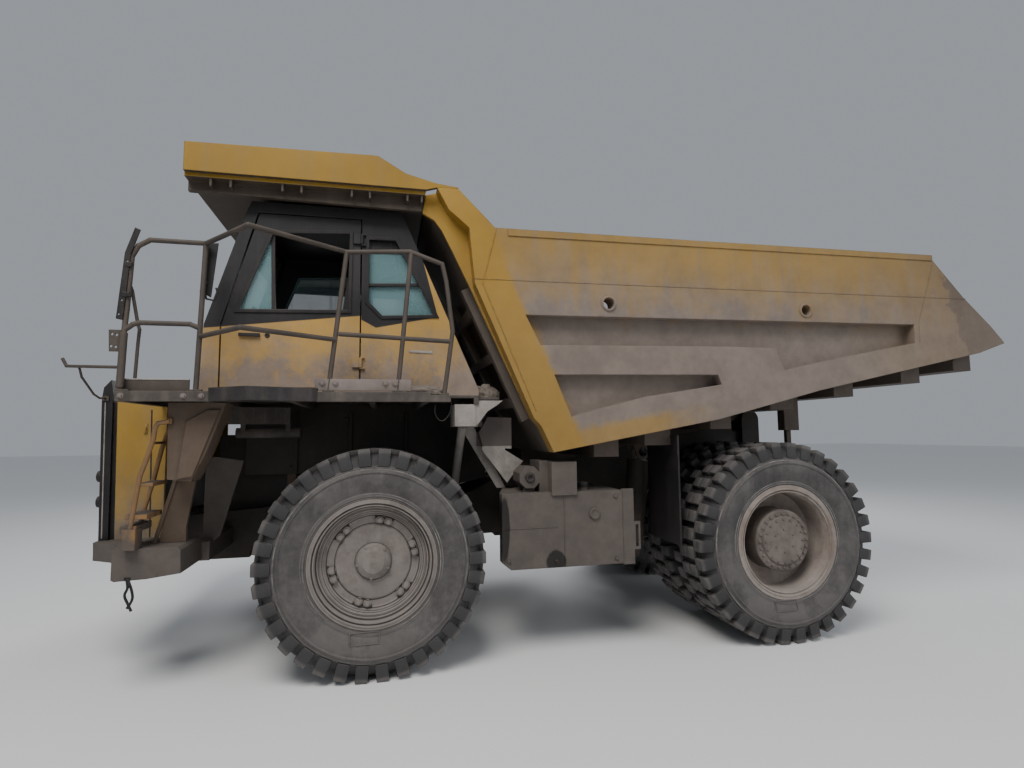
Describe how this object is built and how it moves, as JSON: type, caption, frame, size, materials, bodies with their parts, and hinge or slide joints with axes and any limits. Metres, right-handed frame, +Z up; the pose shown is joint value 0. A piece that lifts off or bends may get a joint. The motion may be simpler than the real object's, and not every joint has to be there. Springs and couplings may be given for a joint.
{
  "type": "rigid mining dump truck",
  "caption": "Two-axle rigid mining dump truck with a tipping steel body and canopy, offset cab, steered front wheels and twin rear wheels.",
  "frame": {"origin": "middle of the overall box, on the ground under the tyres", "axes": "+X to the nose, +Y to the driver's left, +Z up"},
  "size_m": [10.3285, 5.5007, 4.942],
  "materials": {
    "frame_paint": "dark painted steel under mud and dust",
    "cast_parts": "dusty cast steel",
    "yellow_paint": "ochre yellow paint, faded and dusty",
    "dust_paint": "yellow paint under a film of grey dust",
    "black_paint": "satin black paint",
    "tyre_rubber": "dusty tyre rubber",
    "rim_paint": "grey brown rim under dust",
    "cab_glass": "greenish cab glass, dusty",
    "seat_cloth": "dark seat cover",
    "dash_plastic": "grey cab plastic",
    "flap_rubber": "black rubber sheet",
    "lamp_glass": "clear lamp glass",
    "rod_chrome": "ground and plated rod"
  },
  "bodies": {
    "chassis": {"main_frame": "frame_paint", "engine": "cast_parts", "drive_line": "cast_parts", "grille": "black_paint", "hood": "yellow_paint", "bumper": "dust_paint", "platform": "dust_paint", "platform_legs": "dust_paint", "ladders": "yellow_paint", "handrail_left": "dust_paint", "handrail_right": "dust_paint", "mirrors": "black_paint", "cab_shell": "yellow_paint", "cab_glass": "cab_glass", "seat": "seat_cloth", "dashboard": "dash_plastic", "fuel_tank": "dust_paint", "oil_tank": "dust_paint", "front_suspension": "cast_parts", "rear_axle": "cast_parts", "rear_suspension": "cast_parts", "lamps": "lamp_glass", "valve_box": "frame_paint"},
    "door": {"cab_door": "yellow_paint", "door_glass": "cab_glass"},
    "knuckle_left": {"knuckle_left": "cast_parts"},
    "knuckle_right": {"knuckle_right": "cast_parts"},
    "tie_rod": {"tie_rod": "cast_parts"},
    "wheel_front_left": {"front_rim_left": "rim_paint", "front_tyre_left": "tyre_rubber"},
    "wheel_front_right": {"front_rim_right": "rim_paint", "front_tyre_right": "tyre_rubber"},
    "wheels_rear_left": {"rear_rims_left": "rim_paint", "rear_tyres_left": "tyre_rubber"},
    "wheels_rear_right": {"rear_rims_right": "rim_paint", "rear_tyres_right": "tyre_rubber"},
    "bed": {"bed_floor": "dust_paint", "bed_sides": "yellow_paint", "bed_front": "dust_paint", "canopy": "yellow_paint", "rock_ejectors": "frame_paint", "mud_flaps": "flap_rubber"},
    "hoist_barrel_left": {"hoist_barrel_left": "frame_paint"},
    "hoist_stage_left": {"hoist_stage_left": "rod_chrome"},
    "hoist_rod_left": {"hoist_rod_left": "rod_chrome"},
    "hoist_barrel_right": {"hoist_barrel_right": "frame_paint"},
    "hoist_stage_right": {"hoist_stage_right": "rod_chrome"},
    "hoist_rod_right": {"hoist_rod_right": "rod_chrome"}
  },
  "joints": [
    {"name": "bed_tip", "type": "hinge", "parent": "chassis", "child": "bed", "pos_m": [-2.585, 0, 2.39], "axis": [0, -1, 0], "range_deg": [0, 48]},
    {"name": "steer_left", "type": "hinge", "parent": "chassis", "child": "knuckle_left", "pos_m": [2.415, 1.25, 1], "axis": [0, 0, 1], "range_deg": [-39, 39]},
    {"name": "steer_right", "type": "hinge", "parent": "chassis", "child": "knuckle_right", "pos_m": [2.415, -1.25, 1], "axis": [0, 0, 1], "range_deg": [-39, 39]},
    {"name": "tie_rod_turn", "type": "hinge", "parent": "knuckle_left", "child": "tie_rod", "pos_m": [1.965, 1.25, 0.88], "axis": [0, 0, 1], "range_deg": [-39, 39]},
    {"name": "front_left_roll", "type": "hinge", "parent": "knuckle_left", "child": "wheel_front_left", "pos_m": [2.415, 1.788, 1.05421], "axis": [0, 1, 0], "continuous": true},
    {"name": "front_right_roll", "type": "hinge", "parent": "knuckle_right", "child": "wheel_front_right", "pos_m": [2.415, -1.788, 1.05421], "axis": [0, 1, 0], "continuous": true},
    {"name": "rear_left_roll", "type": "hinge", "parent": "chassis", "child": "wheels_rear_left", "pos_m": [-1.885, 1.521, 1.05421], "axis": [0, 1, 0], "continuous": true},
    {"name": "rear_right_roll", "type": "hinge", "parent": "chassis", "child": "wheels_rear_right", "pos_m": [-1.885, -1.521, 1.05421], "axis": [0, 1, 0], "continuous": true},
    {"name": "door_swing", "type": "hinge", "parent": "chassis", "child": "door", "pos_m": [2.565, 1.8, 3.5], "axis": [0, 0, 1], "range_deg": [0, 26]},
    {"name": "hoist_lean_left", "type": "hinge", "parent": "chassis", "child": "hoist_barrel_left", "pos_m": [-0.535, 1.18, 0.85], "axis": [0, -1, 0], "range_deg": [0, 10]},
    {"name": "hoist_stage_slide_left", "type": "slide", "parent": "hoist_barrel_left", "child": "hoist_stage_left", "axis": [-0.1123, 0, 0.9937], "range_m": [0, 0.8]},
    {"name": "hoist_rod_slide_left", "type": "slide", "parent": "hoist_stage_left", "child": "hoist_rod_left", "axis": [-0.1123, 0, 0.9937], "range_m": [0, 0.8]},
    {"name": "hoist_lean_right", "type": "hinge", "parent": "chassis", "child": "hoist_barrel_right", "pos_m": [-0.535, -1.18, 0.85], "axis": [0, -1, 0], "range_deg": [0, 10]},
    {"name": "hoist_stage_slide_right", "type": "slide", "parent": "hoist_barrel_right", "child": "hoist_stage_right", "axis": [-0.1123, 0, 0.9937], "range_m": [0, 0.8]},
    {"name": "hoist_rod_slide_right", "type": "slide", "parent": "hoist_stage_right", "child": "hoist_rod_right", "axis": [-0.1123, 0, 0.9937], "range_m": [0, 0.8]}
  ],
  "couplings": [
    {"joint": "steer_right", "follows": "steer_left", "ratio": 1},
    {"joint": "tie_rod_turn", "follows": "steer_left", "ratio": -1},
    {"joint": "hoist_lean_left", "follows": "bed_tip", "ratio": 0.073},
    {"joint": "hoist_stage_slide_left", "follows": "bed_tip", "m_per_rad": 0.9489},
    {"joint": "hoist_rod_slide_left", "follows": "bed_tip", "m_per_rad": 0.9489},
    {"joint": "hoist_lean_right", "follows": "bed_tip", "ratio": 0.073},
    {"joint": "hoist_stage_slide_right", "follows": "bed_tip", "m_per_rad": 0.9489},
    {"joint": "hoist_rod_slide_right", "follows": "bed_tip", "m_per_rad": 0.9489}
  ]
}
